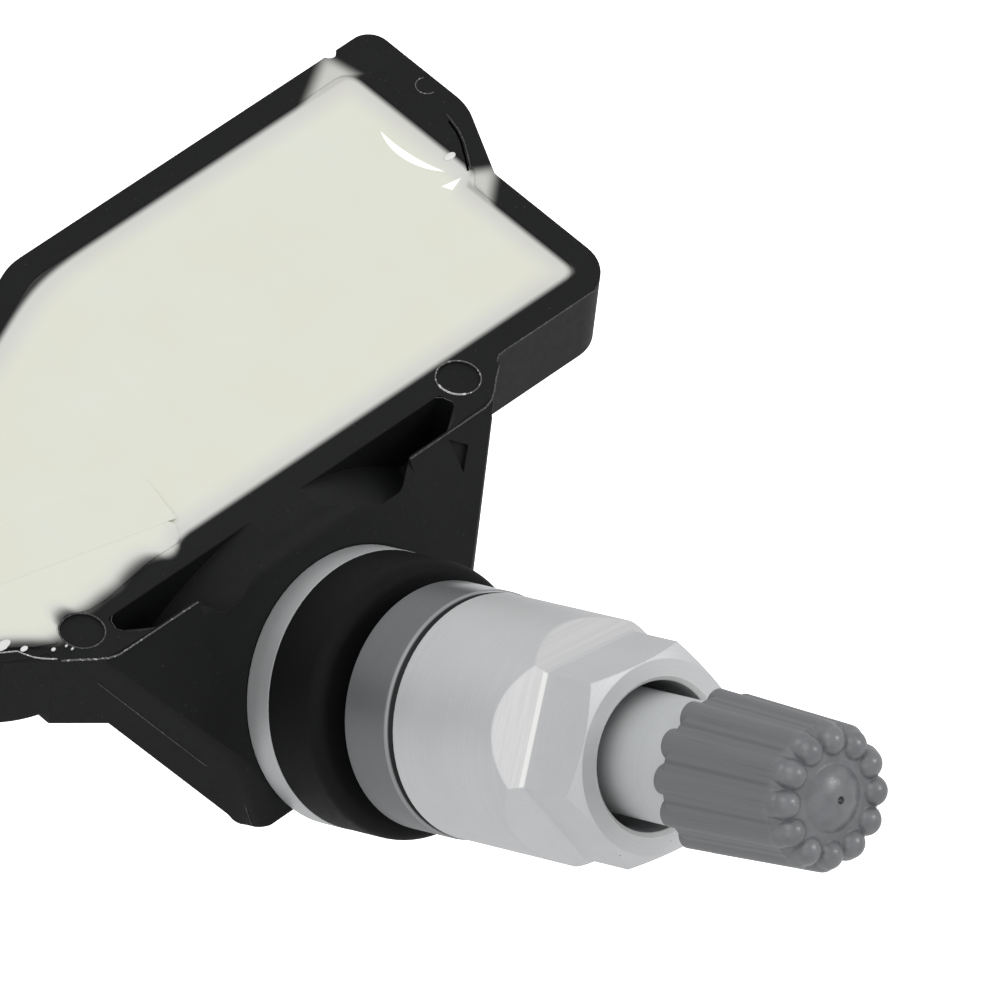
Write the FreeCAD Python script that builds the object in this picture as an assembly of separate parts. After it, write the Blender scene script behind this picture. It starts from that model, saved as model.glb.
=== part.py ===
# Tyre pressure sensor with a clamp-in metal valve.
#
# Frame, in millimetres: the origin is where the valve's axis meets the inner face of the wheel rim.
# +X runs along the box. The valve points to -Y and is tilted up towards +Z.
# +Z is the normal of the box's potted face.
# "Station" is the distance along the valve's axis from the origin, positive towards the valve's tip.

import FreeCAD
import Part
import math
import os

Vec = FreeCAD.Vector

# Valve axis
valve_tilt = 31.0               # from the box's base plane, degrees

# Box of the housing
box_right = 29.4                # from the valve's axis to the right end
box_left = 24.5                 # from the valve's axis to the left end
box_width = 24.67               # from the front wall to the back wall
box_height = 5.76
box_front = 13.75               # from the origin to the front wall
box_top = 5.94                  # potted face
front_wall = 1.66
back_wall = 1.75
right_wall = 1.73
left_wall = 1.9
floor_thickness = 1.0
box_corner = 2.8                # corner radius of the plan
front_left_radius = 8.0         # the front left corner is fuller
back_left_run = 25.8            # length along X of the slanted back left corner
back_left_slope = 23.0          # angle of the slanted corner to the back wall, degrees
corner_slant_radius = 4.5
ear_reach = 2.75                # how far the ear stands out of the right end
ear_start = 10.9                # from the front wall to the ear
ear_slope = 5.2                 # length of the ear's sloping flank
ear_foot_radius = 0.5
ear_shoulder_radius = 4.0
ear_corner = 1.4
ear_nick_place = 0.7            # small nick in the back wall beside the ear, from the right end
ear_nick_radius = 0.5
ear_nick_depth = 0.35
ear_wall_outset = 1.0           # the cavity widens by this much inside the ear
cavity_corner = 1.26
cavity_front_left = 6.2         # radius of the cavity's front left corner
base_edge = 0.3                 # chamfer round the base

# Neck plate that carries the valve
neck_face = -6.5                # station of its front face
neck_thickness = 2.9
neck_tip = -4.8                # level of its lower end, up from the valve's axis
neck_half_top = 18.66           # half width where it leaves the box
neck_half_low = 9.47            # half width of its lower part
neck_start = 0.35               # from the front wall to the start of its slanted sides
neck_low = 8.13                 # from the front wall to the end of its slanted sides
neck_corner = 1.8
neck_edge = 1.45                 # rounding between front face and sides
neck_root_radius = 1.0          # hollow between underside and base
neck_tip_radius = 0.5
shoulder_radius = 2.0           # rounding between potted face and front face
shoulder_half = 8.85            # half width of that rounding; the edge is sharp beyond it
wing_crease = [(8.89, 10.43), (7.76, 4.46)]  # across and up from the valve's axis
wing_turn = 2.5                 # how far each wing is turned outwards, degrees

# Pockets between the neck plate and the box, open at the top
pocket_depth = 4.5
pocket_plan = [                 # across from the valve's axis and from the front wall, with the rounding
    (1.6, 0.0, 0),
    (14.0, 0.0, 0.4),
    (14.18, 1.1, 0.6),
    (12.2, 2.42, 0.6),
    (9.0, 2.42, 0.8),
    (7.6, 3.35, 1.2),
    (1.6, 3.35, 0),
]
hub_front_radius = 11.05        # cone round the valve that the pockets stop at
hub_flare = 0.58
hub_above = 3.0                 # the cone is drawn from this far in front of the face
hub_depth = 16.0
pad_place = 15.8                # round pads left by the ejector pins
pad_inset = 0.26                # from the front wall
pad_radius = 1.4
pad_depth = 0.12
dent_depth = 0.45               # triangular dent in the right wing
dent_corners = [(12.1, 10.4), (13.4, 9.3), (12.4, 7.9)]  # across and up from the valve's axis

# Seat and boss for the valve
seat_radius = 8.75
seat_depth = 1.45
boss_radius = 4.9
boss_end = -10.6                # station of the face for the screw's head
screw_clearance = 0.2

# Valve stem
flange_radius = 8.6
flange_top = -4.5               # station of the face that the grommet sits on
seat_gap = 0.05
clamp_thread_radius = 5.0       # M10 x 1
clamp_thread_end = 13.2
clamp_thread_run_out = 0.8      # cone between the two threads
stem_radius = 3.85              # tyre valve thread 8V1
stem_tip = 35.8
stem_tip_chamfer = 0.6
core_bore_radius = 2.6
core_bore_end = 27.0
core_seat = 1.1                 # length of the cone at the bottom of the core's bore
air_bore_radius = 1.5
screw_thread_radius = 2.0       # M4
screw_thread_end = 2.6

# Grommet
grommet_radius = 8.58
grommet_round = 0.9
grommet_neck_radius = 5.65      # fills the 11.3 mm valve hole of the rim
grommet_neck = 1.5
grommet_fillet = 0.45

# Washer and nut
washer_overhang = 0.1           # the washer stands out round the nut's collar
washer_thickness = 4.1
washer_chamfer = 0.35
thread_clearance = 0.06
stack_gap = 0.03
nut_radius = 7.5
nut_length = 15.9
nut_across_flats = 12.0
nut_flat_length = 4.45
nut_ramp_slope = 55.5           # between the ramps and a plane across the axis, degrees
nut_front_ring = 5.95
nut_front_slope = 30.0
nut_bore_radius = 4.58
nut_bore_chamfer = 0.3
nut_relief = 8.2                # depth of the threaded bore from the back
nut_clocking = -8.1             # turn of the hexagon, degrees
nut_back_chamfer = 0.25
nut_ramp_reach = 9.375          # the ramps are drawn out to here and trimmed by the collar
nut_lip_length = 0.3            # narrow facet between each ramp and its flat
nut_lip_rise = 0.14

# Cap
cap_start = 27.4
cap_length = 10.2               # to the plane of the nose
cap_back_radius = 4.72
cap_nose_radius = 4.35
cap_bore_clearance = 0.06
cap_ridges = 12
cap_ridge_radius = 0.95
cap_ridge_rise = 0.24           # the ridges stand out of the body by this much
cap_ridge_overhang = 0.55       # the ridges reach back past the body by this much
cap_shoulder = 1.2              # from the plane of the nose back to the end of the taper
cap_lobe_ring = 3.38
cap_lobe_radius = 0.96
cap_lobe_depth = 0.75           # from the plane of the nose to the lobes' centres
cap_face_depth = 0.35           # from the plane of the nose to the face between the lobes
cap_dome_radius = 2.1
cap_dome_height = 0.75
cap_pip_radius = 0.22
cap_bore_end = 36.65
cap_clocking = 7.0
cap_seal_radius = 3.6

# Valve core
core_clearance = 0.06           # in the stem's bore
core_end = 35.0
core_start = 28.5
core_inner_radius = 1.25
core_nose_radius = 1.8
core_nose_end = 26.3
core_slot_width = 1.6
core_slot_depth = 1.4
gasket_height = 1.2
rubber_gap = 0.02               # between a rubber ring and the metal in it
pin_radius = 0.55
pin_clearance = 0.25
pin_top = 35.4
pin_head_radius = 1.0
pin_head_start = 33.2
pin_head_length = 0.5
pin_foot_radius = 0.9
pin_foot_length = 0.4
cup_radius = 1.3
cup_height = 0.9
cup_gap = 0.05                  # below the barrel's nose
spring_seat = 29.6
spring_wire = 0.16
spring_radius = 0.93
spring_turns = 6
spring_gap = 0.02               # at each end of the spring

# Retaining screw
screw_radius = 2.0
screw_head_radius = 3.4
screw_head_height = 2.4
screw_air_radius = 0.6
screw_socket_across = 2.5
screw_socket_depth = 1.5
screw_length = 10.4

# Electronics under the potting; places in Y are from the front wall
board_thickness = 0.8
board_height = 2.1              # from the cavity's floor to the board's underside
board_margin = 0.6
board_right = 5.9
cell_height = 3.2
cell_rim = 0.5
cell_lid_inset = 1.2
cell_margin = 0.63              # from the cell to the cavity's front and back walls
cell_place = 17.0
tab_thickness = 0.15
tab_width = 3.0
tab_overlap = 2.0               # onto the board
tab_stop = 2.0                  # the tabs end this far before the cell's centre
tab_bottom_place = -5.0         # from the cell's centre
tab_top_place = 2.0
chip_size = 5.0
chip_place_x = -9.0
chip_place_y = 8.6
chip_inlet_radius = 0.42
chip_inlet_depth = 0.4
port_radius = 0.7
seal_radius = 1.9
seal_height = 0.5
coil_place_x = -2.6
coil_place_y = 13.2
coil_length = 8.0
coil_width = 2.4
coil_height = 1.25
coil_flange = 1.0
coil_core_inset = 0.6           # from the flange's side to the core
coil_core_drop = 0.3            # from the flange's top to the core
coil_wire_inset = 0.15
antenna_place_x = -14.0
antenna_place_y = 3.6
antenna_height = 1.2
antenna_thickness = 0.3
antenna_width = 1.0
antenna_length = 15.0
crystal_place_x = -15.0
crystal_place_y = 6.6
crystal_length = 3.2
crystal_width = 2.5
crystal_height = 0.8
capacitor_place_x = -8.5
capacitor_place_y = 6.6
capacitor_length = 1.6
capacitor_width = 0.8
capacitor_pitch = 2.2
capacitor_count = 5
potting_drop = 0.06             # the potting ends this far below the rim
spill_height = 0.12             # film of potting on the left of the rim
spill_edge = [                  # across from the valve's axis and back from the front wall, with the rounding
    (-5.5, 3.16, 0.5),
    (-6.3, 1.61, 0.5),
    (-9.0, 1.6, 0.6),
    (-13.0, 1.1, 0.8),
    (-14.4, 1.15, 0.3),
    (-15.8, 1.75, 0.4),
    (-17.0, 1.3, 0.4),
    (-17.6, 0.4, 0.3),
    (-18.9, 1.1, 0.5),
    (-20.8, 2.6, 1.0),
    (-22.4, 4.8, 1.0),
    (-19.0, 6.6, 1.0),
]


def valve_frame():
    """Placement that lays local +Z along the valve's axis and keeps X."""
    return FreeCAD.Placement(Vec(0, 0, 0), FreeCAD.Rotation(Vec(1, 0, 0), 90 - valve_tilt))


def on_valve(shape):
    """The shape, drawn along local +Z, placed on the valve's axis."""
    placed = shape.copy()
    placed.Placement = valve_frame().multiply(placed.Placement)
    return placed


def turned(points):
    """Solid of revolution about local Z from (radius, station) points."""
    corners = [Vec(r, 0, z) for r, z in points]
    face = Part.Face(Part.makePolygon(corners + corners[:1]))
    return face.revolve(Vec(0, 0, 0), Vec(0, 0, 1), 360)


def rod(radius, start, end):
    return Part.makeCylinder(radius, end - start, Vec(0, 0, start))


def ring(outer, inner, start, end):
    return rod(outer, start, end).cut(rod(inner, start - 1, end + 1))


def block(x0, x1, y0, y1, z0, z1):
    return Part.makeBox(x1 - x0, y1 - y0, z1 - z0, Vec(x0, y0, z0))


def hexagon(across_flats, start, end, clocking=0.0):
    corner = across_flats / math.sqrt(3)
    points = []
    for i in range(6):
        turn = math.radians(60 * i + clocking)
        points.append(Vec(corner * math.cos(turn), corner * math.sin(turn), start))
    face = Part.Face(Part.makePolygon(points + points[:1]))
    return face.extrude(Vec(0, 0, end - start))


def rounded_wire(corners, place):
    """Closed outline through (a, b, radius) corners, each rounded by its radius."""
    edges = []
    count = len(corners)
    starts = []
    ends = []
    middles = []
    for i in range(count):
        a, b, radius = corners[i]
        here = Vec(a, b, 0)
        before = Vec(corners[i - 1][0], corners[i - 1][1], 0) - here
        after = Vec(corners[(i + 1) % count][0], corners[(i + 1) % count][1], 0) - here
        before.normalize()
        after.normalize()
        half = before.getAngle(after) / 2
        if radius > 0 and half < math.pi / 2 - 0.01:
            run = radius / math.tan(half)
            middle = before + after
            middle.normalize()
            middles.append(here + middle * (radius / math.sin(half) - radius))
            starts.append(here + before * run)
            ends.append(here + after * run)
        else:
            middles.append(None)
            starts.append(here)
            ends.append(here)
    for i in range(count):
        if middles[i] is not None:
            arc = Part.Arc(place(starts[i]), place(middles[i]), place(ends[i]))
            edges.append(arc.toShape())
        after = starts[(i + 1) % count]
        if ends[i].distanceToPoint(after) > 1e-6:
            edges.append(Part.makeLine(place(ends[i]), place(after)))
    return Part.Wire(edges)


def plan_prism(corners, low, high):
    wire = rounded_wire(corners, lambda p: Vec(p.x, p.y, low))
    return Part.Face(wire).extrude(Vec(0, 0, high - low))


def side_prism(corners, x0, x1):
    """Prism along X from an outline given in Y and Z."""
    wire = rounded_wire(corners, lambda p: Vec(x0, p.x, p.y))
    return Part.Face(wire).extrude(Vec(x1 - x0, 0, 0))


def beyond(point, normal, reach=60.0):
    """The half space on the normal's side of a plane."""
    body = Part.makeBox(2 * reach, 2 * reach, 2 * reach, Vec(-reach, -reach, 0))
    body.Placement = FreeCAD.Placement(point, FreeCAD.Rotation(Vec(0, 0, 1), normal))
    return body


def round_circles(shape, radius, station, size):
    """Rounds the circular edges of the given radius at the given station."""
    edges = []
    for edge in shape.Edges:
        curve = edge.Curve
        if isinstance(curve, Part.Circle) and abs(curve.Radius - radius) < 0.01:
            if abs(curve.Center.z - station) < 0.01:
                edges.append(edge)
    return shape.makeFillet(size, edges)


box_base = box_top - box_height
box_back = box_front + box_width
cavity_floor = box_base + floor_thickness
board_z = cavity_floor + board_height
board_top = board_z + board_thickness
washer_back = grommet_neck + stack_gap
nut_back = washer_back + washer_thickness + stack_gap
nut_front = nut_back + nut_length
washer_radius = nut_radius + washer_overhang
cell_radius = (box_width - front_wall - back_wall) / 2 - cell_margin
core_radius = core_bore_radius - core_clearance
cup_low = core_nose_end - cup_gap - cup_height


def box_outline(front, back, left, right, ear, corner, flank, shoulder, back_corner, round_end):
    """Plan of the box inset on each side: slanted back left corner, ear on the right end."""
    slope = math.radians(back_left_slope)
    y_front = box_front + front
    y_back = box_back - back
    x_left = -box_left + left
    x_right = box_right - right
    x_ear = box_right + ear_reach - ear
    y_ear = box_front + ear_start
    # the slanted side stays parallel to itself, moved in by the back inset
    slant_end = back_left_run - box_left + back * math.tan(slope / 2)
    slant_left = y_back - (slant_end - x_left) * math.tan(slope)
    return [
        (x_left, y_front, round_end),
        (x_right, y_front, corner),
        (x_right, y_ear, ear_foot_radius),
        (x_ear, y_ear + flank, shoulder),
        (x_ear, y_back, back_corner),
        (slant_end, y_back, corner_slant_radius),
        (x_left, slant_left, corner),
    ]


def box_plan():
    return box_outline(0, 0, 0, 0, 0, box_corner, ear_slope, ear_shoulder_radius, ear_corner, front_left_radius)


def cavity_prism(low, high):
    ear = ear_reach + right_wall - ear_wall_outset
    outline = box_outline(front_wall, back_wall, left_wall, right_wall, ear, cavity_corner,
                          ear_wall_outset, cavity_corner / 2, cavity_corner, cavity_front_left)
    return plan_prism(outline, low, high)


def mirrored(corners, side):
    """Outline in plan, turned over to the left for side -1."""
    if side > 0:
        return corners
    return [(-x, y, r) for x, y, r in reversed(corners)]


def neck_plan():
    inside = box_front + front_wall / 2
    right = [
        (neck_half_top, inside, 0),
        (neck_half_top, box_front - neck_start, 0),
        (neck_half_low, box_front - neck_low, neck_corner),
        (neck_half_low, 0, 0),
    ]
    return plan_prism(right + mirrored(right, -1), box_base - box_front, box_top)


def neck_profile(edge_radius, tip_radius, root_radius):
    """Side view: potted face, front face across the valve, parallel back face, lower end."""
    tilt = math.radians(valve_tilt)
    neck_back = neck_face - neck_thickness

    def level(station, z):
        return (station * -math.cos(tilt) * math.cos(tilt) + z * math.sin(tilt)
                - station * math.sin(tilt) * math.sin(tilt)) / math.cos(tilt)

    def corner(station, up, radius):
        y = -station * math.cos(tilt) + up * math.sin(tilt)
        z = station * math.sin(tilt) + up * math.cos(tilt)
        return y, z, radius

    inside = box_front + front_wall / 2
    corners = [
        (inside, box_top, 0),
        (level(neck_face, box_top), box_top, edge_radius),
        corner(neck_face, neck_tip, tip_radius),
        corner(neck_back, neck_tip, tip_radius),
        (level(neck_back, box_base), box_base, root_radius),
        (inside, box_base, 0),
    ]
    return side_prism(corners, -neck_half_top - 1, neck_half_top + 1)


def neck():
    """Plate with rounded sides; its top edge is rounded between the pockets only."""
    plate = neck_plan().common(neck_profile(0, 0, 0))
    axis = valve_frame().Rotation.multVec(Vec(0, 0, 1))
    rims = []
    for edge in plate.Edges:
        stations = [vertex.Point.dot(axis) for vertex in edge.Vertexes]
        on_face = max(abs(station - neck_face) for station in stations) < 0.001
        sideways = max(abs(vertex.Point.x) for vertex in edge.Vertexes) > neck_half_low - 0.01
        level = abs(edge.Vertexes[0].Point.z - edge.Vertexes[-1].Point.z) < 0.001
        if on_face and sideways and not level:
            rims.append(edge)
    plate = plate.makeFillet(neck_edge, rims)
    plate = plate.common(neck_profile(0, neck_tip_radius, 0))
    middle = block(-shoulder_half, shoulder_half, 0, box_front + 1, box_base, box_top + 1)
    return plate.cut(middle.cut(neck_profile(shoulder_radius, 0, 0)))


def wing_cut(side):
    """What the turned wing takes off the front face, on the right (+1) or left (-1)."""
    frame = valve_frame()
    high = Vec(side * wing_crease[0][0], wing_crease[0][1], neck_face)
    low = Vec(side * wing_crease[1][0], wing_crease[1][1], neck_face)
    crease = high - low
    crease.normalize()
    normal = FreeCAD.Rotation(crease, side * wing_turn).multVec(Vec(0, 0, 1))
    return beyond(frame.multVec(low), frame.Rotation.multVec(normal))


def hub_cone():
    """Cone round the valve's axis that stays standing between the pockets."""
    return on_valve(turned([
        (0, neck_face + hub_above),
        (hub_front_radius - hub_above * hub_flare, neck_face + hub_above),
        (hub_front_radius + hub_depth * hub_flare, neck_face - hub_depth),
        (0, neck_face - hub_depth),
    ]))


def pocket(side):
    corners = [(across, box_front - ahead, radius) for across, ahead, radius in pocket_plan]
    well = plan_prism(mirrored(corners, side), box_top - pocket_depth, box_top + 1)
    return well.cut(hub_cone())


def wing_dent():
    """Small triangular dent near the top of the right wing."""
    corners = [Vec(across, up, neck_face - dent_depth) for across, up in dent_corners]
    face = Part.Face(Part.makePolygon(corners + corners[:1]))
    return on_valve(face.extrude(Vec(0, 0, neck_thickness)))


def valve_seat():
    """Dished seat for the flange of the stem."""
    sphere = (seat_radius ** 2 + seat_depth ** 2) / (2 * seat_depth)
    ball = Part.makeSphere(sphere, Vec(0, 0, neck_face - seat_depth + sphere))
    return on_valve(ball.common(rod(seat_radius, neck_face - seat_depth - 1, neck_face + 4)))


def housing():
    outer = plan_prism(box_plan(), box_base, box_top)
    rim = [e for e in outer.Edges if abs(e.BoundBox.ZMax - box_base) < 1e-4]
    outer = outer.makeChamfer(base_edge, rim)
    plate = neck()
    for side in (1, -1):
        plate = plate.cut(wing_cut(side))
    boss = on_valve(rod(boss_radius, boss_end, neck_face - seat_depth))
    nick = Vec(box_right - ear_nick_place, box_back - ear_nick_depth + ear_nick_radius, box_base)
    outer = outer.cut(Part.makeCylinder(ear_nick_radius, box_height, nick))
    body = outer.fuse(plate).fuse(boss)
    body = body.cut(cavity_prism(cavity_floor, box_top + 1))
    for side in (1, -1):
        body = body.cut(pocket(side))
        pad_centre = Vec(side * pad_place, box_front + pad_inset, box_top - pad_depth)
        pad = Part.makeCylinder(pad_radius, 1, pad_centre)
        body = body.cut(pad)
    body = body.cut(wing_dent())
    body = body.cut(valve_seat())
    body = body.cut(on_valve(rod(screw_radius + screw_clearance, boss_end - 1, neck_face)))
    port = Part.makeCylinder(port_radius, floor_thickness + 2, port_place(box_base - 1))
    return body.cut(port).removeSplitter()


def port_place(z):
    return Vec(chip_place_x, box_front + chip_place_y, z)


def circuit_board():
    outline = box_outline(
        front_wall + board_margin, back_wall + board_margin, left_wall + board_margin,
        right_wall, right_wall, cavity_corner, ear_slope, cavity_corner, cavity_corner,
        cavity_front_left - board_margin,
    )
    board = plan_prism(outline, board_z, board_top)
    board = board.common(block(-box_left, board_right, box_front, box_back, board_z - 1, board_top + 1))
    return board.cut(Part.makeCylinder(port_radius, board_thickness, port_place(board_z)))


def cell_centre(z):
    return Vec(cell_place, box_front + front_wall + cell_margin + cell_radius, z)


def battery_cell():
    low = cavity_floor + tab_thickness
    can = Part.makeCylinder(cell_radius, cell_height - cell_rim, cell_centre(low + cell_rim))
    lid = Part.makeCylinder(cell_radius - cell_lid_inset, cell_rim, cell_centre(low))
    return can.fuse(lid).removeSplitter()


def battery_tab(place, strip_z, foot_low, foot_high):
    """Strip of metal on the cell with one end bent onto the board."""
    x = board_right - tab_overlap
    y = cell_centre(0).y + place
    flat = block(x, cell_place - tab_stop, y, y + tab_width, strip_z, strip_z + tab_thickness)
    foot = block(x, x + tab_thickness, y, y + tab_width, foot_low, foot_high)
    return flat.fuse(foot).removeSplitter()


def battery_tab_bottom():
    return battery_tab(tab_bottom_place, cavity_floor, cavity_floor, board_z)


def battery_tab_top():
    top = cavity_floor + tab_thickness + cell_height
    return battery_tab(tab_top_place, top, board_top, top)


def sensor_chip():
    half = chip_size / 2
    at = port_place(0)
    low = cavity_floor + seal_height
    chip = block(at.x - half, at.x + half, at.y - half, at.y + half, low, board_z)
    inlet = Part.makeCylinder(chip_inlet_radius, chip_inlet_depth, port_place(low))
    return chip.cut(inlet)


def port_seal():
    seal = Part.makeCylinder(seal_radius, seal_height, port_place(cavity_floor))
    return seal.cut(Part.makeCylinder(port_radius, seal_height, port_place(cavity_floor)))


def coil_block(cut_ends, inset_side, inset_top):
    """Block about the coil's middle, smaller than its flanges by the given insets."""
    half_length = coil_length / 2 - cut_ends
    half_width = coil_width / 2 - inset_side
    x = coil_place_x
    y = box_front + coil_place_y
    return block(x - half_length, x + half_length, y - half_width, y + half_width,
                 board_top + inset_top, board_top + coil_height - inset_top)


def coil_core():
    """Ferrite rod with a square flange at each end."""
    waist = coil_block(coil_flange, -1, -1)
    return coil_block(0, 0, 0).cut(waist.cut(coil_block(0, coil_core_inset, coil_core_drop)))


def coil_winding():
    wound = coil_block(coil_flange, coil_wire_inset, coil_wire_inset)
    return wound.cut(coil_block(0, coil_core_inset, coil_core_drop))


def antenna_strip():
    """Bridge of strip metal on two feet."""
    x = antenna_place_x
    y = box_front + antenna_place_y
    bridge = block(x, x + antenna_length, y, y + antenna_width, board_top, board_top + antenna_height)
    under = block(x + antenna_thickness, x + antenna_length - antenna_thickness, y - 1, y + antenna_width + 1,
                  board_top - 1, board_top + antenna_height - antenna_thickness)
    return bridge.cut(under)


def crystal():
    x = crystal_place_x
    y = box_front + crystal_place_y
    return block(x, x + crystal_length, y, y + crystal_width, board_top, board_top + crystal_height)


def chip_capacitors():
    chips = []
    y = box_front + capacitor_place_y
    for i in range(capacitor_count):
        x = capacitor_place_x + i * capacitor_pitch
        chips.append(block(x, x + capacitor_length, y, y + capacitor_width,
                           board_top, board_top + capacitor_width))
    return Part.makeCompound(chips)


def spill_film():
    """Potting that ran over the left of the rim."""
    corners = [(across, box_front + inward, radius) for across, inward, radius in spill_edge]
    return plan_prism(corners, box_top - 2 * potting_drop, box_top + spill_height)


def potting(embedded):
    fill = cavity_prism(cavity_floor, box_top - potting_drop)
    film = spill_film()
    above = film.common(plan_prism(box_plan(), box_top, box_top + 1))
    over_cavity = film.common(cavity_prism(cavity_floor, box_top + 1))
    fill = fill.fuse(above).fuse(over_cavity)
    for shape in embedded:
        fill = fill.cut(shape)
    fill = fill.cut(Part.makeCylinder(port_radius, seal_height, port_place(cavity_floor)))
    solids = sorted(fill.removeSplitter().Solids, key=lambda s: s.Volume)
    return solids[-1]


def valve_stem():
    back = neck_face - seat_depth + seat_gap
    sphere = (seat_radius ** 2 + seat_depth ** 2) / (2 * seat_depth) - seat_gap
    body = turned([
        (0, back),
        (flange_radius, back),
        (flange_radius, flange_top),
        (clamp_thread_radius, flange_top),
        (clamp_thread_radius, clamp_thread_end - clamp_thread_run_out),
        (stem_radius, clamp_thread_end),
        (stem_radius, stem_tip - stem_tip_chamfer),
        (stem_radius - stem_tip_chamfer, stem_tip),
        (0, stem_tip),
    ])
    ball = Part.makeSphere(sphere, Vec(0, 0, back + sphere))
    bowl = ball.common(rod(flange_radius, back - 1, neck_face + 1)).fuse(
        rod(flange_radius, neck_face, stem_tip))
    body = body.common(bowl)
    body = body.cut(turned([
        (0, core_bore_end - core_seat),
        (air_bore_radius, core_bore_end - core_seat),
        (core_bore_radius, core_bore_end),
        (core_bore_radius, stem_tip + 1),
        (0, stem_tip + 1),
    ]))
    body = body.cut(rod(air_bore_radius, screw_thread_end, core_bore_end))
    body = body.cut(rod(screw_thread_radius + thread_clearance, back - 1, screw_thread_end))
    return on_valve(body.removeSplitter())


def grommet():
    body = turned([
        (clamp_thread_radius + thread_clearance, flange_top + stack_gap),
        (grommet_radius, flange_top + stack_gap),
        (grommet_radius, 0),
        (grommet_neck_radius, 0),
        (grommet_neck_radius, grommet_neck),
        (clamp_thread_radius + thread_clearance, grommet_neck),
    ])
    body = round_circles(body, grommet_radius, 0, grommet_round)
    body = round_circles(body, grommet_neck_radius, 0, grommet_fillet)
    return on_valve(body)


def washer():
    return on_valve(turned([
        (clamp_thread_radius + thread_clearance, washer_back),
        (washer_radius, washer_back),
        (washer_radius, washer_back + washer_thickness - washer_chamfer),
        (washer_radius - washer_chamfer, washer_back + washer_thickness),
        (clamp_thread_radius + thread_clearance, washer_back + washer_thickness),
    ]))


def nut():
    """Collar that runs into a hexagon through six ramps, with a chamfered front."""
    flats_start = nut_front - nut_flat_length
    lip_start = flats_start - nut_lip_length
    rise = nut_ramp_reach - nut_across_flats / 2 - nut_lip_rise
    ramp_start = lip_start - rise * math.tan(math.radians(nut_ramp_slope))
    low = hexagon_wire(2 * nut_ramp_reach, ramp_start)
    middle = hexagon_wire(nut_across_flats + 2 * nut_lip_rise, lip_start)
    high = hexagon_wire(nut_across_flats, flats_start)
    ramp = Part.makeLoft([low, middle], True, True)
    lip = Part.makeLoft([middle, high], True, True)
    prism = hexagon(nut_across_flats, flats_start, nut_front, nut_clocking)
    body = rod(nut_radius, nut_back, ramp_start).fuse(ramp).fuse(lip).fuse(prism)
    slope = math.tan(math.radians(nut_front_slope))
    body = body.common(turned([
        (0, nut_back),
        (nut_radius - nut_back_chamfer, nut_back),
        (nut_radius, nut_back + nut_back_chamfer),
        (nut_radius, nut_front - (nut_radius - nut_front_ring) * slope),
        (nut_front_ring, nut_front),
        (0, nut_front),
    ]))
    body = body.cut(rod(nut_bore_radius, nut_back - 1, nut_front + 1))
    body = body.cut(rod(clamp_thread_radius + thread_clearance, nut_back - 1, nut_back + nut_relief))
    body = body.cut(turned([
        (0, nut_front - nut_bore_chamfer),
        (nut_bore_radius, nut_front - nut_bore_chamfer),
        (nut_bore_radius + nut_bore_chamfer + 0.5, nut_front + 0.5),
        (0, nut_front + 0.5),
    ]))
    return on_valve(body.removeSplitter())


def hexagon_wire(across_flats, z):
    corner = across_flats / math.sqrt(3)
    points = []
    for i in range(6):
        turn = math.radians(60 * i + nut_clocking)
        points.append(Vec(corner * math.cos(turn), corner * math.sin(turn), z))
    return Part.makePolygon(points + points[:1])


def cap():
    """Tapered dust cap: grip ridges along the body, a ring of lobes and a dome on the nose."""
    nose = cap_start + cap_length
    face = nose - cap_face_depth
    body = turned([
        (0, cap_start),
        (cap_back_radius, cap_start),
        (cap_nose_radius, nose - cap_shoulder),
        (cap_lobe_ring, face),
        (0, face),
    ])
    taper = (cap_back_radius - cap_nose_radius) / (cap_length - cap_shoulder)
    lean = math.degrees(math.atan(taper))
    back = cap_start - cap_ridge_overhang
    ridge_length = nose - cap_shoulder - back
    for i in range(cap_ridges):
        turn = 360.0 / cap_ridges * i + cap_clocking
        ridge = Part.makeCylinder(cap_ridge_radius, ridge_length)
        tip = Part.makeSphere(cap_ridge_radius, Vec(0, 0, ridge_length))
        ridge = ridge.fuse(tip)
        ridge.rotate(Vec(0, 0, 0), Vec(0, 1, 0), -lean)
        ridge.translate(Vec(cap_back_radius + cap_ridge_rise - cap_ridge_radius, 0, back))
        ridge.rotate(Vec(0, 0, 0), Vec(0, 0, 1), turn)
        lobe = Part.makeSphere(cap_lobe_radius, Vec(cap_lobe_ring, 0, nose - cap_lobe_depth))
        lobe.rotate(Vec(0, 0, 0), Vec(0, 0, 1), turn)
        body = body.fuse(ridge).fuse(lobe)
    body = body.common(rod(cap_back_radius + cap_ridge_radius, back, nose + cap_lobe_radius))
    sphere = (cap_dome_radius ** 2 + cap_dome_height ** 2) / (2 * cap_dome_height)
    dome = Part.makeSphere(sphere, Vec(0, 0, face + cap_dome_height - sphere))
    dome = dome.common(rod(cap_dome_radius, face - cap_pip_radius, face + cap_dome_height))
    body = body.fuse(dome)
    pip = Part.makeSphere(cap_pip_radius, Vec(0, 0, face + cap_dome_height))
    body = body.cut(pip)
    body = body.cut(rod(stem_radius + cap_bore_clearance, back - 1, cap_bore_end))
    return on_valve(body.removeSplitter())


def cap_seal():
    return on_valve(rod(cap_seal_radius, stem_tip + stack_gap, cap_bore_end - stack_gap))


def core_barrel():
    body = turned([
        (0, core_nose_end),
        (core_nose_radius, core_nose_end),
        (core_nose_radius, core_start),
        (core_radius, core_start),
        (core_radius, core_end),
        (0, core_end),
    ])
    body = body.cut(rod(pin_radius + pin_clearance, core_nose_end - 1, core_end + 1))
    body = body.cut(rod(core_inner_radius, spring_seat, core_end + 1))
    slot = block(-core_slot_width / 2, core_slot_width / 2, -core_radius - 1, core_radius + 1,
                 core_end - core_slot_depth, core_end + 1)
    return on_valve(body.cut(slot))


def core_gasket():
    return on_valve(ring(core_radius, core_nose_radius + rubber_gap, core_start - gasket_height, core_start))


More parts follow.
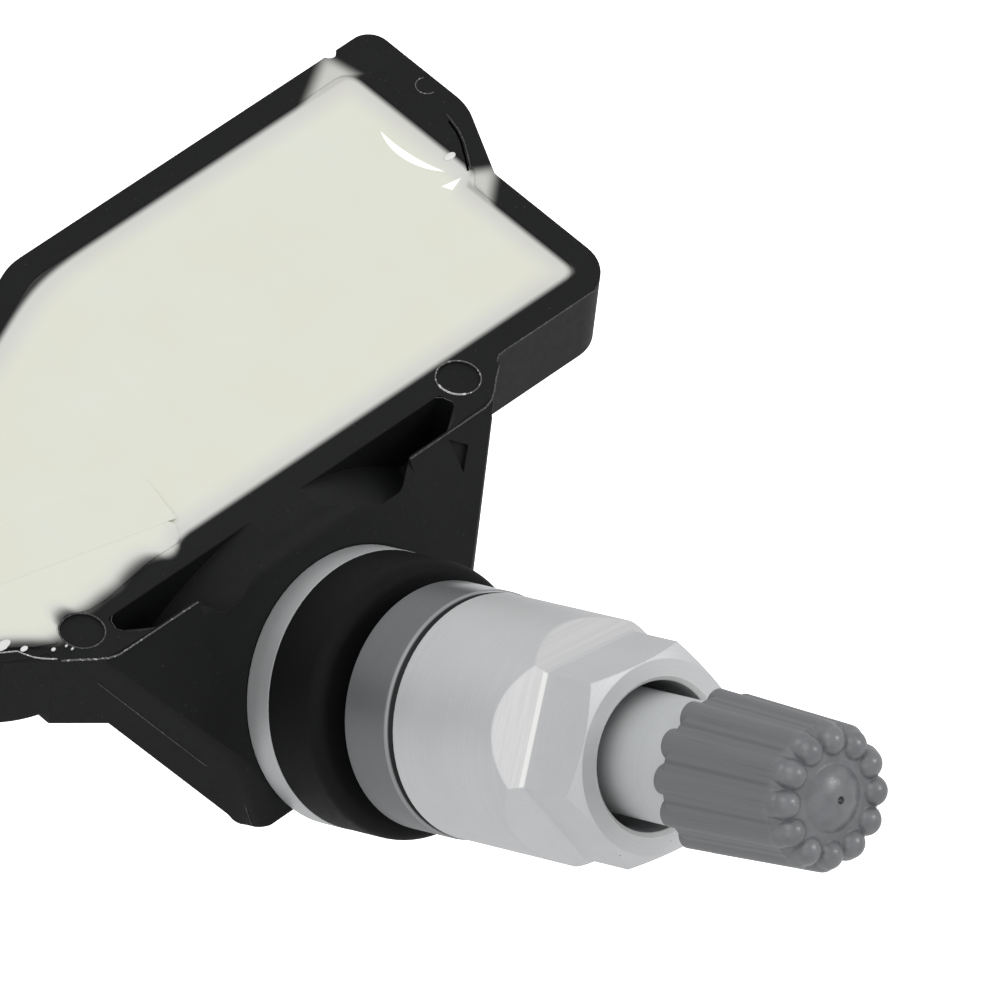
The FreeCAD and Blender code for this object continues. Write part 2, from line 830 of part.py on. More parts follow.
def core_pin():
    """Plunger with a head under the spring's top end and a foot under the cup."""
    foot_top = cup_low - rubber_gap
    body = rod(pin_radius, foot_top - pin_foot_length, pin_top)
    head = rod(pin_head_radius, pin_head_start, pin_head_start + pin_head_length)
    foot = rod(pin_foot_radius, foot_top - pin_foot_length, foot_top)
    return on_valve(body.fuse(head).fuse(foot).removeSplitter())


def core_cup():
    """Rubber seal on the plunger, held against the barrel's nose by the spring."""
    return on_valve(ring(cup_radius, pin_radius + rubber_gap, cup_low, cup_low + cup_height))


def core_spring():
    """Coil between the barrel's inner shoulder and the plunger's head."""
    height = pin_head_start - spring_seat - 2 * (spring_wire + spring_gap)
    pitch = height / spring_turns
    helix = Part.makeHelix(pitch, height, spring_radius)
    start = Vec(spring_radius, 0, 0)
    section = Part.Wire([Part.makeCircle(spring_wire, start, Vec(0, 1, pitch / (2 * math.pi * spring_radius)))])
    coil = Part.Wire(helix.Edges).makePipeShell([section], True, True)
    coil.translate(Vec(0, 0, spring_seat + spring_wire + spring_gap))
    return on_valve(coil)


def retaining_screw():
    """Hollow screw: the tyre's air reaches the stem's bore through it."""
    top = boss_end + screw_length
    body = rod(screw_radius, boss_end, top).fuse(rod(screw_head_radius, boss_end - screw_head_height, boss_end))
    body = body.cut(rod(screw_air_radius, boss_end - screw_head_height - 1, top + 1))
    socket = hexagon(screw_socket_across, boss_end - screw_head_height - 1,
                     boss_end - screw_head_height + screw_socket_depth)
    return on_valve(body.cut(socket).removeSplitter())


def main():
    os.makedirs("parts", exist_ok=True)
    embedded = {
        "circuit_board": circuit_board(),
        "battery_cell": battery_cell(),
        "battery_tab_bottom": battery_tab_bottom(),
        "battery_tab_top": battery_tab_top(),
        "sensor_chip": sensor_chip(),
        "port_seal": port_seal(),
        "wake_coil_core": coil_core(),
        "wake_coil_winding": coil_winding(),
        "antenna_strip": antenna_strip(),
        "crystal": crystal(),
        "chip_capacitors": chip_capacitors(),
    }
    nodes = dict(embedded)
    nodes.update({
        "housing": housing(),
        "potting": potting(embedded.values()),
        "valve_stem": valve_stem(),
        "grommet": grommet(),
        "washer": washer(),
        "nut": nut(),
        "cap": cap(),
        "cap_seal": cap_seal(),
        "core_barrel": core_barrel(),
        "core_gasket": core_gasket(),
        "core_pin": core_pin(),
        "core_cup": core_cup(),
        "core_spring": core_spring(),
        "retaining_screw": retaining_screw(),
    })
    for name, shape in nodes.items():
        shape.exportStep("parts/" + name + ".step")
        box = shape.BoundBox
        print(name, len(shape.Solids), "solid(s)", round(shape.Volume, 2), "mm3", shape.isValid(),
              [round(v, 2) for v in (box.XMin, box.XMax, box.YMin, box.YMax, box.ZMin, box.ZMax)])


main()
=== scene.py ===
import math
import bpy
from mathutils import Matrix, Vector


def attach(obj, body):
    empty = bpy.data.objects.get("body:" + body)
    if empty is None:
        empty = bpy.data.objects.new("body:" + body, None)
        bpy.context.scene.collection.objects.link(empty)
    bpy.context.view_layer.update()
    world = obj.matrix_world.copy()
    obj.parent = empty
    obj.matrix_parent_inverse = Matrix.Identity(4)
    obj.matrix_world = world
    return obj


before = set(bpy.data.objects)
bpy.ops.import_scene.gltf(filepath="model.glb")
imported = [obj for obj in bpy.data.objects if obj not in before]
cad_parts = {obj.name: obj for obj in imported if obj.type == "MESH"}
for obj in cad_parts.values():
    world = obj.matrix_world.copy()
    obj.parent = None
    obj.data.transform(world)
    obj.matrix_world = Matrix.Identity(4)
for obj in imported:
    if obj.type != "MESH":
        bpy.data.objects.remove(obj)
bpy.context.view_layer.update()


# Studio: the sensor is shown above a plain white sheet inside a bright white tent. A softbox
# overhead adds shape, a small one at the right gives the highlights, and a weak one fills the left.
def add_floor(size, height):
    bpy.ops.object.select_all(action="DESELECT")
    bpy.ops.mesh.primitive_plane_add(size=size, location=(0, 0, 0))
    floor = bpy.context.object
    floor.name = "floor"
    bpy.ops.object.mode_set(mode="EDIT")
    bpy.ops.mesh.select_all(action="SELECT")
    bpy.ops.transform.translate(value=(0, 0, height))
    bpy.ops.object.mode_set(mode="OBJECT")
    sheet = bpy.data.materials.new("white sheet")
    sheet.use_nodes = True
    paper = sheet.node_tree.nodes["Principled BSDF"]
    paper.inputs["Base Color"].default_value = (0.8, 0.8, 0.8, 1)
    paper.inputs["Roughness"].default_value = 0.95
    paper.inputs["Specular IOR Level"].default_value = 0.0
    paper.inputs["Emission Color"].default_value = (1, 1, 1, 1)
    seen = sheet.node_tree.nodes.new("ShaderNodeLightPath")
    sheet.node_tree.links.new(seen.outputs["Is Camera Ray"], paper.inputs["Emission Strength"])
    floor.data.materials.append(sheet)


def softbox(name, place, width, height, power):
    """Rectangular lamp aimed at the origin."""
    lamp = bpy.data.lights.new(name, "AREA")
    lamp.shape = "RECTANGLE"
    lamp.size = width
    lamp.size_y = height
    lamp.energy = power
    holder = bpy.data.objects.new(name, lamp)
    bpy.context.collection.objects.link(holder)
    holder.location = place
    holder.rotation_mode = "QUATERNION"
    holder.rotation_quaternion = (-Vector(place)).to_track_quat("-Z", "Y")


add_floor(size=6.0, height=-0.06)
softbox("softbox overhead", place=(-0.20, 0.05, 0.62), width=0.50, height=0.40, power=0.6)
softbox("softbox left", place=(-0.55, -0.35, 0.40), width=0.35, height=0.35, power=0.25)
softbox("softbox right", place=(0.29, -0.38, 0.36), width=0.12, height=0.12, power=0.45)
world = bpy.data.worlds.new("white tent")
bpy.context.scene.world = world
world.use_nodes = True
tent = world.node_tree.nodes["Background"]
tent.inputs["Color"].default_value = (1, 1, 1, 1)
tent.inputs["Strength"].default_value = 0.78
bpy.context.scene.view_settings.view_transform = "Standard"

lens = bpy.data.cameras.new("camera")
lens.sensor_width = 36.0
lens.lens = 648.0
lens.clip_start = 0.05
lens.clip_end = 20.0
camera = bpy.data.objects.new("camera", lens)
bpy.context.collection.objects.link(camera)
right = Vector((0.70988097, -0.69941302, 0.08300863))
up = Vector((0.48192091, 0.56828765, 0.66693432))
ahead = Vector((0.51363533, 0.43344039, -0.74047835))
eye = Vector((-0.546764, -0.465202, 0.809654))
camera.matrix_world = Matrix((
    (right.x, up.x, -ahead.x, eye.x),
    (right.y, up.y, -ahead.y, eye.y),
    (right.z, up.z, -ahead.z, eye.z),
    (0, 0, 0, 1),
))
bpy.context.scene.camera = camera


# Housing: one moulding in black glass-filled nylon. Short glass fibres show as fine pale
# specks, the surface is lightly textured, and some resin ran and was smeared over the rim.
def effect(name, inputs, outputs):
    """New node group; returns it with the sockets that feed and take its values."""
    group = bpy.data.node_groups.new(name, "ShaderNodeTree")
    for label, kind in inputs:
        group.interface.new_socket(name=label, in_out="INPUT", socket_type="NodeSocket" + kind)
    for label, kind in outputs:
        group.interface.new_socket(name=label, in_out="OUTPUT", socket_type="NodeSocket" + kind)
    given = group.nodes.new("NodeGroupInput")
    made = group.nodes.new("NodeGroupOutput")
    return group, given.outputs, made.inputs


def join(tree, value, socket):
    """Link a socket, or set a plain value."""
    if isinstance(value, bpy.types.NodeSocket):
        tree.links.new(value, socket)
    else:
        socket.default_value = value


def calc(tree, operation, *values):
    node = tree.nodes.new("ShaderNodeMath")
    node.operation = operation
    for value, socket in zip(values, node.inputs):
        join(tree, value, socket)
    return node.outputs[0]


def fade(tree, value, low, high):
    """0 at low, 1 at high, smooth between; low may be the larger."""
    node = tree.nodes.new("ShaderNodeMapRange")
    node.interpolation_type = "SMOOTHSTEP"
    join(tree, value, node.inputs["Value"])
    falling = isinstance(low, float) and isinstance(high, float) and low > high
    join(tree, high if falling else low, node.inputs["From Min"])
    join(tree, low if falling else high, node.inputs["From Max"])
    node.inputs["To Min"].default_value = 1.0 if falling else 0.0
    node.inputs["To Max"].default_value = 0.0 if falling else 1.0
    return node.outputs["Result"]


def band(tree, value, rise, fall):
    """1 between two edges, each a pair of values for fade."""
    return calc(tree, "MULTIPLY", fade(tree, value, *rise), fade(tree, value, *fall))


def blend(tree, amount, first, second, mode="MIX"):
    node = tree.nodes.new("ShaderNodeMix")
    node.data_type = "RGBA"
    node.blend_type = mode
    join(tree, amount, node.inputs[0])
    join(tree, first, node.inputs[6])
    join(tree, second, node.inputs[7])
    return node.outputs[2]


def tinted(tree, colour, tint):
    return blend(tree, 1.0, colour, (*tint, 1), "MULTIPLY")


def noise(tree, vector, per_mm, detail=2.0):
    node = tree.nodes.new("ShaderNodeTexNoise")
    join(tree, vector, node.inputs["Vector"])
    join(tree, per_mm, node.inputs["Scale"])
    node.inputs["Detail"].default_value = detail
    return node.outputs["Fac"]


def in_mm(tree, vector):
    node = tree.nodes.new("ShaderNodeVectorMath")
    node.operation = "SCALE"
    join(tree, vector, node.inputs[0])
    node.inputs["Scale"].default_value = 1000.0
    return node.outputs[0]


def split(tree, vector):
    node = tree.nodes.new("ShaderNodeSeparateXYZ")
    join(tree, vector, node.inputs[0])
    return node.outputs


moulded, given, made = effect(
    "moulded surface",
    (("Vector", "Vector"), ("Colour", "Color"), ("Speck Colour", "Color"), ("Speck Level", "Float"),
     ("Roughness", "Float"), ("Grain Scale", "Float")),
    (("Base Color", "Color"), ("Roughness", "Float"), ("Height", "Float")))
place = in_mm(moulded, given["Vector"])
full_speck = calc(moulded, "ADD", given["Speck Level"], 0.04)
specks = fade(moulded, noise(moulded, place, per_mm=7.0, detail=1.0), given["Speck Level"], full_speck)
cloud = fade(moulded, noise(moulded, place, per_mm=0.35, detail=3.0), 0.25, 0.75)
body = blend(moulded, cloud, tinted(moulded, given["Colour"], (0.86, 0.86, 0.86)), given["Colour"])
join(moulded, blend(moulded, specks, body, given["Speck Colour"]), made["Base Color"])
smoothest = calc(moulded, "SUBTRACT", given["Roughness"], 0.08)
uneven = noise(moulded, place, per_mm=2.0)
join(moulded, calc(moulded, "MULTIPLY_ADD", uneven, 0.16, smoothest), made["Roughness"])
join(moulded, noise(moulded, place, given["Grain Scale"], detail=3.0), made["Height"])


# Resin cover: where the cream resin lies, seen from above. It fills the box to its walls, and at
# the left it ran over the rim to a ragged edge. Distances are in millimetres, inwards positive.
resin_cover, given, made = effect(
    "resin cover",
    (("Vector", "Vector"), ("Resin", "Color"), ("Grey", "Color"), ("Edge", "Color")),
    (("Base Color", "Color"), ("Cover", "Float"), ("Height", "Float")))
x, y = split(resin_cover, in_mm(resin_cover, given["Vector"]))[:2]
spill_left, spill_width = -23.0, 18.0
spill_front, spill_depth = 13.0, 6.0
ragged = resin_cover.nodes.new("ShaderNodeFloatCurve")
along = calc(resin_cover, "DIVIDE", calc(resin_cover, "ADD", x, -spill_left), spill_width)
join(resin_cover, along, ragged.inputs["Value"])
ragged.mapping.extend = "HORIZONTAL"
edge = ragged.mapping.curves[0].points
edge[0].location = (0.033, 0.925)
edge[1].location = (1.0, 0.402)
for across, back in ((0.122, 0.558), (0.194, 0.4), (0.228, 0.317), (0.267, 0.217), (0.3, 0.158),
                     (0.322, 0.15), (0.356, 0.3), (0.4, 0.383), (0.456, 0.267), (0.556, 0.275),
                     (0.622, 0.283), (0.667, 0.325), (0.717, 0.358), (0.778, 0.367), (0.817, 0.325),
                     (0.856, 0.267), (0.894, 0.3), (0.928, 0.367), (0.972, 0.4)):
    edge.new(across, back)
ragged.mapping.update()
front = calc(resin_cover, "MULTIPLY_ADD", ragged.outputs[0], spill_depth, spill_front)
from_front = calc(resin_cover, "SUBTRACT", y, front)
back_wall = 36.67
from_back = calc(resin_cover, "SUBTRACT", back_wall, y)
right_wall = 27.67
ear_step = fade(resin_cover, y, 24.9, 25.9)
from_right = calc(resin_cover, "SUBTRACT", calc(resin_cover, "ADD", ear_step, right_wall), x)
slant = math.radians(23.0)
corner_x, corner_y = 1.3, 38.42
wall_thickness = 1.75
slant_offset = corner_y * math.cos(slant) - corner_x * math.sin(slant) - wall_thickness
from_slant = calc(resin_cover, "ADD", calc(resin_cover, "MULTIPLY", x, math.sin(slant)), calc(
    resin_cover, "MULTIPLY", y, -math.cos(slant)))
from_slant = calc(resin_cover, "ADD", from_slant, slant_offset)
back_rounding, side_rounding = 2.0, 1.2
depth = calc(resin_cover, "SMOOTH_MIN", from_back, from_slant, back_rounding)
depth = calc(resin_cover, "SMOOTH_MIN", depth, from_right, side_rounding)
depth = calc(resin_cover, "SMOOTH_MIN", depth, from_front, side_rounding)
dark_edge, extra_at_spill = 0.5, 0.9
spread = calc(resin_cover, "MULTIPLY_ADD", fade(resin_cover, x, -6.0, -10.0), extra_at_spill, dark_edge)
shade = blend(resin_cover, fade(resin_cover, depth, 0.0, spread), given["Edge"], given["Grey"])
shade = blend(resin_cover, fade(resin_cover, depth, 0.3, 2.2), shade, given["Resin"])
join(resin_cover, shade, made["Base Color"])
join(resin_cover, fade(resin_cover, depth, -0.05, 0.05), made["Cover"])
join(resin_cover, fade(resin_cover, depth, 0.9, -0.2), made["Height"])


# Resin smear: two thin smears of resin lie across the rim beside the ear, one at the back wall
# and one at the right wall. Each is a strip between straight lines with soft ends.
def left_of(tree, x, y, start, end):
    """Distance to the left of the line from start to end, in millimetres."""
    length = math.hypot(end[0] - start[0], end[1] - start[1])
    along_x, along_y = (end[0] - start[0]) / length, (end[1] - start[1]) / length
    offset = along_y * start[0] - along_x * start[1]
    return calc(tree, "MULTIPLY_ADD", y, along_x, calc(tree, "MULTIPLY_ADD", x, -along_y, offset))


def strip(tree, x, y, first, second):
    """Distance inwards from two lines, each given by its start and end."""
    rounding = 0.8
    return calc(tree, "SMOOTH_MIN", left_of(tree, x, y, *first), left_of(tree, x, y, *second), rounding)


smear, given, made = effect("resin smear", (("Vector", "Vector"),), (("Amount", "Float"),))
x, y, z = split(smear, in_mm(smear, given["Vector"]))
strip_back, strip_side = 36.0, 27.2
behind = strip(smear, x, y, ((27.4, 38.3), (24.6, 36.7)), ((28.93, 36.22), (28.6, 38.1)))
behind = calc(smear, "MINIMUM", behind, calc(smear, "SUBTRACT", y, strip_back))
beside = strip(smear, x, y, ((29.52, 25.35), (28.38, 26.0)), ((28.0, 23.2), (29.4, 24.3)))
beside = calc(smear, "MINIMUM", beside, calc(smear, "SUBTRACT", x, strip_side))
both = fade(smear, calc(smear, "MAXIMUM", behind, beside), -0.25, 0.85)
near_top = fade(smear, z, 4.6, 5.8)
join(smear, calc(smear, "MULTIPLY", both, near_top), made["Amount"])


# Nylon: the housing's own material. Resin covers its rim from above, and the wall to the right of the valve
# is painted a little lighter than the rest, as painted light from the right.
def apply_effect(tree, group):
    node = tree.nodes.new("ShaderNodeGroup")
    node.node_tree = group
    join(tree, tree.nodes["Texture Coordinate"].outputs["Object"], node.inputs["Vector"])
    return node


def new_material(name, group, metallic=0.0, specular=0.5, bump=0.1, reach=0.00002, soften=0.0, **values):
    """Material whose colour, roughness and height come from a group."""
    material = bpy.data.materials.new(name)
    material.use_nodes = True
    tree = material.node_tree
    shader = tree.nodes["Principled BSDF"]
    shader.inputs["Metallic"].default_value = metallic
    shader.inputs["Specular IOR Level"].default_value = specular
    tree.nodes.new("ShaderNodeTexCoord")
    finish = apply_effect(tree, group)
    finish.name = "finish"
    for label, value in values.items():
        join(tree, (*value, 1) if isinstance(value, tuple) else value, finish.inputs[label.replace("_", " ")])
    relief = tree.nodes.new("ShaderNodeBump")
    relief.inputs["Strength"].default_value = bump
    relief.inputs["Distance"].default_value = reach
    tree.links.new(finish.outputs["Height"], relief.inputs["Height"])
    tree.links.new(relief.outputs["Normal"], shader.inputs["Normal"])
    if soften:
        bevel_and_painted_highlight = tree.nodes.new("ShaderNodeBevel")
        bevel_and_painted_highlight.samples = 4
        bevel_and_painted_highlight.inputs["Radius"].default_value = soften
        tree.links.new(bevel_and_painted_highlight.outputs["Normal"], relief.inputs["Normal"])
    tree.links.new(finish.outputs["Base Color"], shader.inputs["Base Color"])
    if "Roughness" in finish.outputs:
        tree.links.new(finish.outputs["Roughness"], shader.inputs["Roughness"])
    return material


def inside(material):
    """What marks are added to: the tree, its shader, the group's colour and the place in millimetres."""
    tree = material.node_tree
    place = in_mm(tree, tree.nodes["Texture Coordinate"].outputs["Object"])
    return tree, tree.nodes["Principled BSDF"], tree.nodes["finish"].outputs["Base Color"], place


def dress(material, *nodes):
    for node in nodes:
        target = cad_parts[node]
        target.data.materials.clear()
        target.data.materials.append(material)


cream = (0.755, 0.775, 0.68)
nylon = new_material(
    "black nylon", moulded, specular=0.16, bump=0.3, soften=0.00012, Colour=(0.0080, 0.0084, 0.0088),
    Speck_Colour=(0.045, 0.045, 0.045), Speck_Level=0.745, Roughness=0.55, Grain_Scale=9.0)
tree, shader, colour, place = inside(nylon)
cover = apply_effect(tree, resin_cover)
cover.inputs["Resin"].default_value = (*cream, 1)
cover.inputs["Grey"].default_value = (0.655, 0.665, 0.63, 1)
cover.inputs["Edge"].default_value = (0.02, 0.02, 0.02, 1)
across, _, height = split(tree, place)
# Painted light: the side wall right of the plate and below the rim gets a lighter nylon colour.
beyond_plate = fade(tree, across, 18.6, 19.4)
below_rim = fade(tree, height, 5.92, 5.75)
painted_light_right_wall = calc(tree, "MULTIPLY", beyond_plate, below_rim)
colour = blend(tree, painted_light_right_wall, colour, (0.0165, 0.0155, 0.0158, 1))
at_rim = fade(tree, height, 5.85, 5.93)
on_top = calc(tree, "MULTIPLY", at_rim, cover.outputs["Cover"])
colour = blend(tree, on_top, colour, cover.outputs["Base Color"])
smeared = apply_effect(tree, smear)
colour = blend(tree, smeared.outputs["Amount"], colour, (0.60, 0.60, 0.57, 1))
tree.links.new(colour, shader.inputs["Base Color"])
dress(nylon, "housing")


# Moulding flash: where the halves of the mould met, thin ridges of nylon were left along the plate's edges,
# the pockets, the pin marks and the ear. They are painted grey, lighter than the nylon, as painted highlights
# of three strengths. A black strip stands for the shadow in the narrow groove beside the ear.
def start_ridge(name, place, rotation, thickness, sides, fill):
    """Round section in edit mode, ready to be extruded or spun."""
    bpy.ops.object.select_all(action="DESELECT")
    bpy.ops.mesh.primitive_circle_add(
        vertices=sides, radius=thickness / 1000, fill_type=fill, location=place, rotation=rotation)
    ridge = bpy.context.object
    ridge.name = name
    bpy.ops.object.transform_apply(location=True, rotation=True, scale=False)
    bpy.ops.object.mode_set(mode="EDIT")
    bpy.ops.mesh.select_all(action="SELECT")
    return ridge


def end_ridge(ridge, material):
    bpy.ops.mesh.normals_make_consistent(inside=False)
    bpy.ops.object.mode_set(mode="OBJECT")
    bpy.ops.object.shade_smooth()
    ridge.data.materials.append(material)
    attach(ridge, "sensor")


def bead(name, points, thickness, material):
    """Thin ridge through points given in millimetres."""
    path = [Vector(point) / 1000 for point in points]
    heading = (path[1] - path[0]).to_track_quat("Z", "Y").to_euler()
    ridge = start_ridge(name, path[0], heading, thickness, sides=6, fill="NGON")
    for here, there in zip(path, path[1:]):
        bpy.ops.mesh.extrude_region_move(TRANSFORM_OT_translate={"value": there - here})
    bpy.ops.mesh.select_all(action="SELECT")
    end_ridge(ridge, material)


def curl(name, centre, radius, start, turn, height, thickness, material):
    """Thin ridge along a circle in plan, in millimetres and degrees."""
    first = math.radians(start)
    middle = Vector((centre[0], centre[1], height)) / 1000
    place = middle + Vector((math.cos(first), math.sin(first), 0)) * radius / 1000
    degrees_per_step = 9
    steps = round(turn / degrees_per_step)
    ridge = start_ridge(name, place, (math.pi / 2, 0, first), thickness, sides=8, fill="NOTHING")
    bpy.ops.mesh.spin(steps=steps, angle=-math.radians(turn), center=middle, axis=(0, 0, 1))
    bpy.ops.mesh.select_all(action="SELECT")
    bpy.ops.mesh.remove_doubles(threshold=0.000001)
    end_ridge(ridge, material)


# Painted highlights in three strengths: grey flash colours, lighter than the nylon, stand for caught light.
flash = new_material(
    "flash painted highlight", moulded, specular=0.5, bump=0.3, Colour=(0.10, 0.10, 0.10),
    Speck_Colour=(0.60, 0.60, 0.58), Speck_Level=0.62, Roughness=0.35, Grain_Scale=5.0)
dim_highlight_flash = new_material(
    "flash painted dim highlight", moulded, specular=0.4, bump=0.3, Colour=(0.045, 0.046, 0.047),
    Speck_Colour=(0.11, 0.11, 0.11), Speck_Level=0.55, Roughness=0.45, Grain_Scale=5.0)
strong_highlight_flash = new_material(
    "flash painted strong highlight", moulded, specular=0.6, bump=0.3, Colour=(0.42, 0.42, 0.41),
    Speck_Colour=(0.85, 0.85, 0.85), Speck_Level=0.58, Roughness=0.3, Grain_Scale=5.0)
groove_shadow = new_material(
    "groove shadow", moulded, specular=0.0, Colour=(0.001, 0.001, 0.001), Speck_Colour=(0.002, 0.002, 0.002),
    Speck_Level=0.8, Roughness=0.9, Grain_Scale=5.0)

rim_top = 5.93
valve_tilt = math.radians(31.0)
plate_face = 8.0
pin_mark = (15.8, 14.01)
ledge = ((18.4, 13.1), (17.5, 12.45), (16.7, 11.8), (16.1, 11.42), (15.4, 11.2), (8.9, 11.16))
pocket_end = ((13.6, 13.74), (13.95, 13.45), (14.15, 12.8), (13.9, 12.3), (13.2, 11.8), (12.4, 11.4))
plate_side = ((9.3, 16.6), (4.0, 13.38), (0.6, 11.3), (-0.9, 10.0), (-1.8, 9.5), (-4.75, 9.49))
# On each side one ridge gets the stronger painted highlight and the other the dimmer one.
for side, name, ledge_material, ring_material in (
        (-1, "left", flash, dim_highlight_flash), (1, "right", dim_highlight_flash, flash)):
    bead("ledge_flash_" + name, [(side * x, y, rim_top) for x, y in ledge],
         thickness=0.06, material=ledge_material)
    bead("pocket_flash_" + name, [(side * x, y, rim_top) for x, y in pocket_end],
         thickness=0.035, material=dim_highlight_flash)
    curl("pin_mark_ring_" + name, (side * pin_mark[0], pin_mark[1]), radius=1.4, start=0, turn=360,
         height=rim_top, thickness=0.05, material=ring_material)
    parting_line = [(side * x, plate_face * math.cos(valve_tilt) + u * math.sin(valve_tilt),
                     -plate_face * math.sin(valve_tilt) + u * math.cos(valve_tilt)) for u, x in plate_side]
    bead("parting_line_" + name, parting_line, thickness=0.035, material=dim_highlight_flash)

front_edge = ((27.3, 13.77), (23.0, 13.77), (19.6, 13.79), (19.0, 13.76), (18.5, 13.4))
bead("front_edge_flash", [(x, y, 5.92) for x, y in front_edge], thickness=0.045, material=dim_highlight_flash)
ear_arc = ((30.43, 30.19), (30.3, 29.61), (30.06, 28.71), (29.64, 27.84), (29.0, 26.87), (28.34, 25.92))
bead("ear_step", [(x + 0.18, y - 0.08, rim_top) for x, y in ear_arc], thickness=0.045, material=dim_highlight_flash)
bead("ear_groove", [(x, y, 5.92) for x, y in ear_arc[1:]], thickness=0.075, material=groove_shadow)
curl("ear_mark", (31.35, 32.65), radius=0.68, start=60, turn=207, height=rim_top, thickness=0.04,
     material=flash)
left_corner = ((-20.9, 16.0), (-19.9, 15.35), (-19.75, 14.95), (-19.5, 14.4), (-19.1, 13.9), (-18.5, 13.35))
bead("corner_flash_left", [(x, y, 5.94) for x, y in left_corner], thickness=0.055, material=strong_highlight_flash)
# Strongest painted highlight along part of the right pin mark's ring.
curl("pin_mark_painted_highlight", pin_mark, radius=1.38, start=165, turn=81, height=5.94, thickness=0.07,
     material=strong_highlight_flash)


# Corner web: left of the valve the box's round corner runs tangentially into the neck
# plate's side, so that the two walls meet without a step.
bpy.ops.object.select_all(action="DESELECT")
web_place = Vector((-19.805, 14.556, 3.46)) / 1000
web_turn = (0, 0, math.radians(-36.4))
bpy.ops.mesh.primitive_cube_add(size=1.0, location=web_place, rotation=web_turn)
web = bpy.context.object
web.name = "corner_web_left"
web.scale = (0.00322, 0.0005, 0.0049)
bpy.ops.object.transform_apply(location=True, rotation=True, scale=True)
web.data.materials.append(nylon)
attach(web, "sensor")


# Potting: cream two-part resin poured into the box. It is grey and dark at its thin edge and glossy. A
# crescent and a small triangle beside the ear are painted white and glow faintly, as a painted reflection of
# a lamp.
resin = new_material(
    "cream resin", resin_cover, specular=0.45, bump=0.5, reach=0.0002, Resin=cream, Grey=(0.66, 0.665, 0.645),
    Edge=(0.02, 0.02, 0.02))
tree, shader, colour, place = inside(resin)
x, y = split(tree, place)[:2]


def from_point(tree, x, y, centre):
    dx = calc(tree, "SUBTRACT", x, centre[0])
    dy = calc(tree, "SUBTRACT", y, centre[1])
    square = calc(tree, "ADD", calc(tree, "MULTIPLY", dx, dx), calc(tree, "MULTIPLY", dy, dy))
    return calc(tree, "SQRT", square)


# Painted reflection: a crescent and a small triangle beside the ear, painted white.
in_small_circle = fade(tree, from_point(tree, x, y, (30.1, 29.7)), 4.16, 4.06)
out_of_large_circle = fade(tree, from_point(tree, x, y, (37.0, 30.6)), 10.48, 10.56)
crescent = calc(tree, "MULTIPLY", in_small_circle, out_of_large_circle)
corners = ((26.15, 26.04), (26.46, 25.37), (27.61, 25.77))
inwards = [left_of(tree, x, y, corners[i - 1], corners[i]) for i in (1, 2, 0)]
triangle = calc(tree, "MINIMUM", inwards[0], calc(tree, "MINIMUM", inwards[1], inwards[2]))
painted_reflection = calc(tree, "MAXIMUM", crescent, fade(tree, triangle, -0.02, 0.04))
mottle = fade(tree, noise(tree, place, per_mm=0.2, detail=3.0), 0.3, 0.7)
smeared = apply_effect(tree, smear)
colour = blend(tree, smeared.outputs["Amount"], colour, (0.66, 0.665, 0.645, 1))
colour = blend(tree, mottle, colour, tinted(tree, colour, (1.0, 0.985, 0.965)))
# The painted reflection is white in colour and glows with a faint cream emission.
tree.links.new(blend(tree, painted_reflection, colour, (1.0, 1.0, 1.0, 1)), shader.inputs["Base Color"])
tree.links.new(calc(tree, "MULTIPLY", painted_reflection, 0.3), shader.inputs["Emission Strength"])
shader.inputs["Emission Color"].default_value = (*cream, 1)
shader.inputs["Roughness"].default_value = 0.22
dress(resin, "potting")


# Resin overflow: a gentle slope carries the resin from the box on to the rim at the left, and
# a few white droplets set on the rim and beside the ear.
bpy.ops.object.select_all(action="DESELECT")
slope_place = Vector((-11.60, 20.62, 5.972)) / 1000
slope_turn = (math.radians(-2.58), 0, math.radians(-14.3))
bpy.ops.mesh.primitive_plane_add(size=1.0, location=slope_place, rotation=slope_turn)
slope_skin = bpy.context.object
slope_skin.name = "resin_overflow_slope"
slope_skin.scale = (0.0141, 0.0043, 1.0)
bpy.ops.object.transform_apply(location=True, rotation=True, scale=True)
slope_skin.data.materials.append(resin)
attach(slope_skin, "sensor")

white_resin = new_material(
    "white resin", moulded, specular=0.6, bump=0.1, Colour=(0.85, 0.85, 0.84), Speck_Colour=(0.7, 0.7, 0.7),
    Speck_Level=0.75, Roughness=0.2, Grain_Scale=3.0)
thickness = 0.10
droplets = (
    (-20.3, 16.2, 6.02, 0.65, 0.32),
    (-19.5, 15.18, 6.02, 0.28, 0.18),
    (-18.2, 14.0, 6.02, 0.16, 0.12),
    (-17.42, 13.7, 6.02, 0.1, 0.07),
    (-17.3, 13.3, 6.02, 0.12, 0.06),
    (28.32, 27.49, 5.9, 0.45, 0.25),
)
for number, (x, y, z, length, width) in enumerate(droplets, start=1):
    bpy.ops.object.select_all(action="DESELECT")
    bpy.ops.mesh.primitive_uv_sphere_add(segments=24, ring_count=12, radius=0.001, location=(0, 0, 0))
    drop = bpy.context.object
    drop.name = "resin_droplet_%d" % number
    bpy.ops.object.mode_set(mode="EDIT")
    bpy.ops.mesh.select_all(action="SELECT")
    bpy.ops.transform.resize(value=(length, width, thickness), center_override=(0, 0, 0))
    bpy.ops.transform.translate(value=(x / 1000, y / 1000, z / 1000))
    bpy.ops.object.mode_set(mode="OBJECT")
    bpy.ops.object.shade_smooth()
    drop.data.materials.append(white_resin)
    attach(drop, "sensor")


